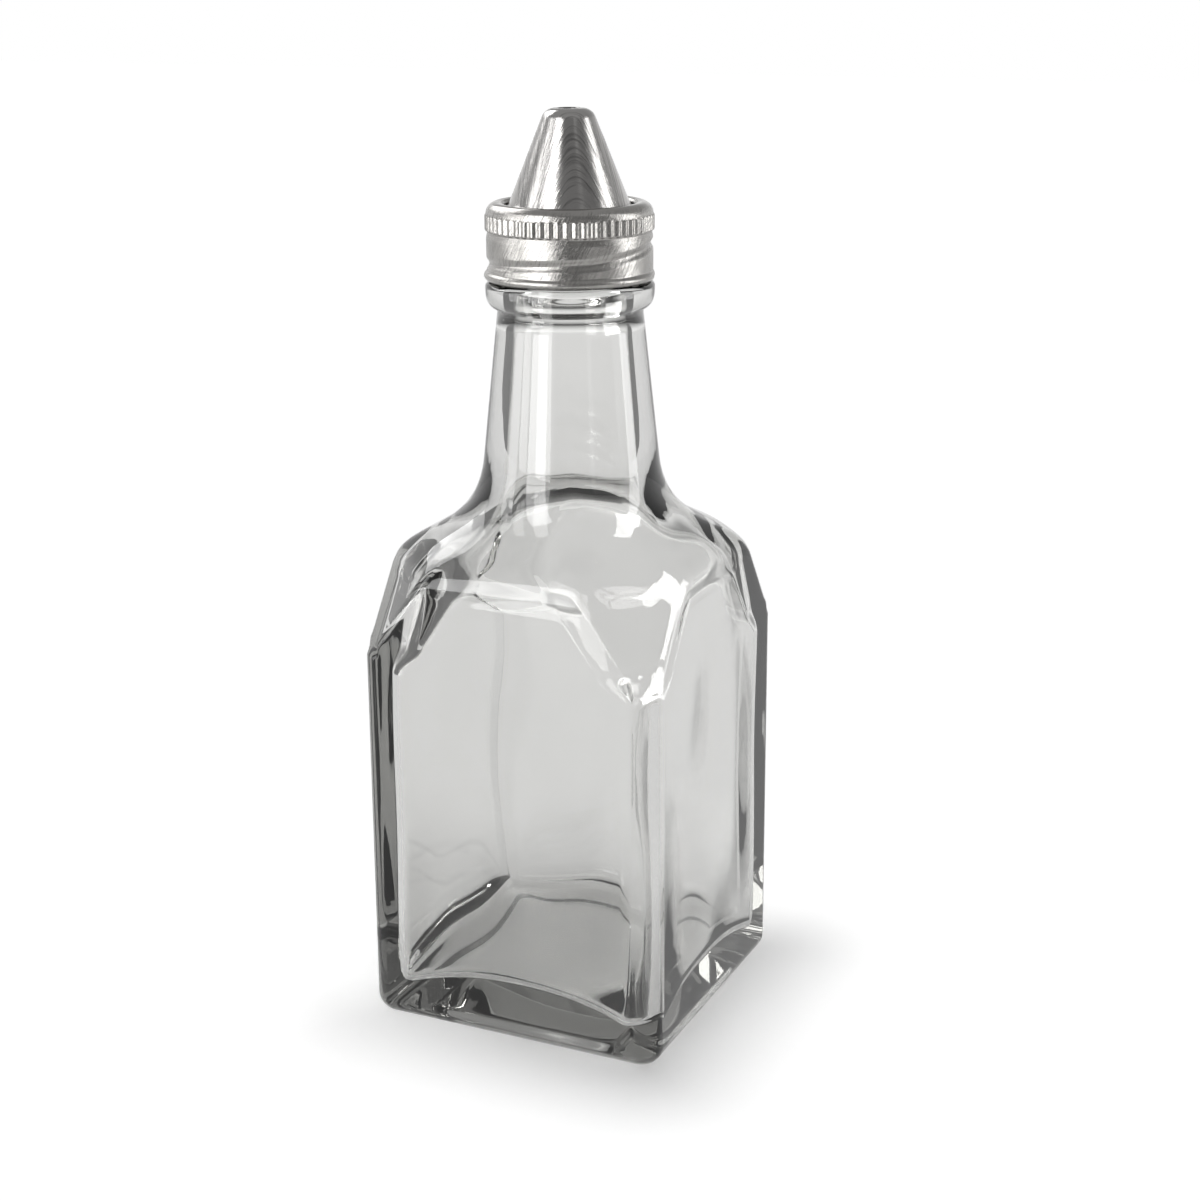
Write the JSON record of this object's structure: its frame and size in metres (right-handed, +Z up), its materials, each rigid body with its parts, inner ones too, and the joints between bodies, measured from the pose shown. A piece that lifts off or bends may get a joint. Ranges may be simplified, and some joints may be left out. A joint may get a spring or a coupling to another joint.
{
  "type": "square oil bottle",
  "caption": "Square clear glass oil bottle with faceted shoulders, tapered neck and a screw band that holds a steel pouring cone.",
  "frame": {"origin": "on the bottle's axis, on the surface that the bottle stands on", "axes": "+Z up along the neck's axis, +X and +Y square to two neighbouring flat sides"},
  "size_m": [0.0562, 0.0562, 0.16],
  "materials": {
    "clear_glass": "clear, fire-polished, neutral tint",
    "seal_plastic": "soft white sealing plastic",
    "brushed_steel_cone": "stainless steel, brushed in crossing arcs",
    "satin_steel_band": "stainless steel, satin, brushed on the slant"
  },
  "bodies": {
    "bottle": {"glass_bottle": "clear_glass"},
    "pourer": {"cone_spout": "brushed_steel_cone", "sealing_washer": "seal_plastic"},
    "band": {"screw_band": "satin_steel_band"}
  },
  "joints": [
    {"name": "cap_lift", "type": "slide", "parent": "bottle", "child": "pourer", "axis": [0, 0, 1], "range_m": [0, 0.01692]},
    {"name": "cap_turn", "type": "hinge", "parent": "pourer", "child": "band", "pos_m": [0, 0, 0.1415], "axis": [0, 0, 1], "range_deg": [0, 1440]}
  ],
  "couplings": [
    {"joint": "cap_lift", "follows": "cap_turn", "m_per_rad": 0.00067322}
  ]
}
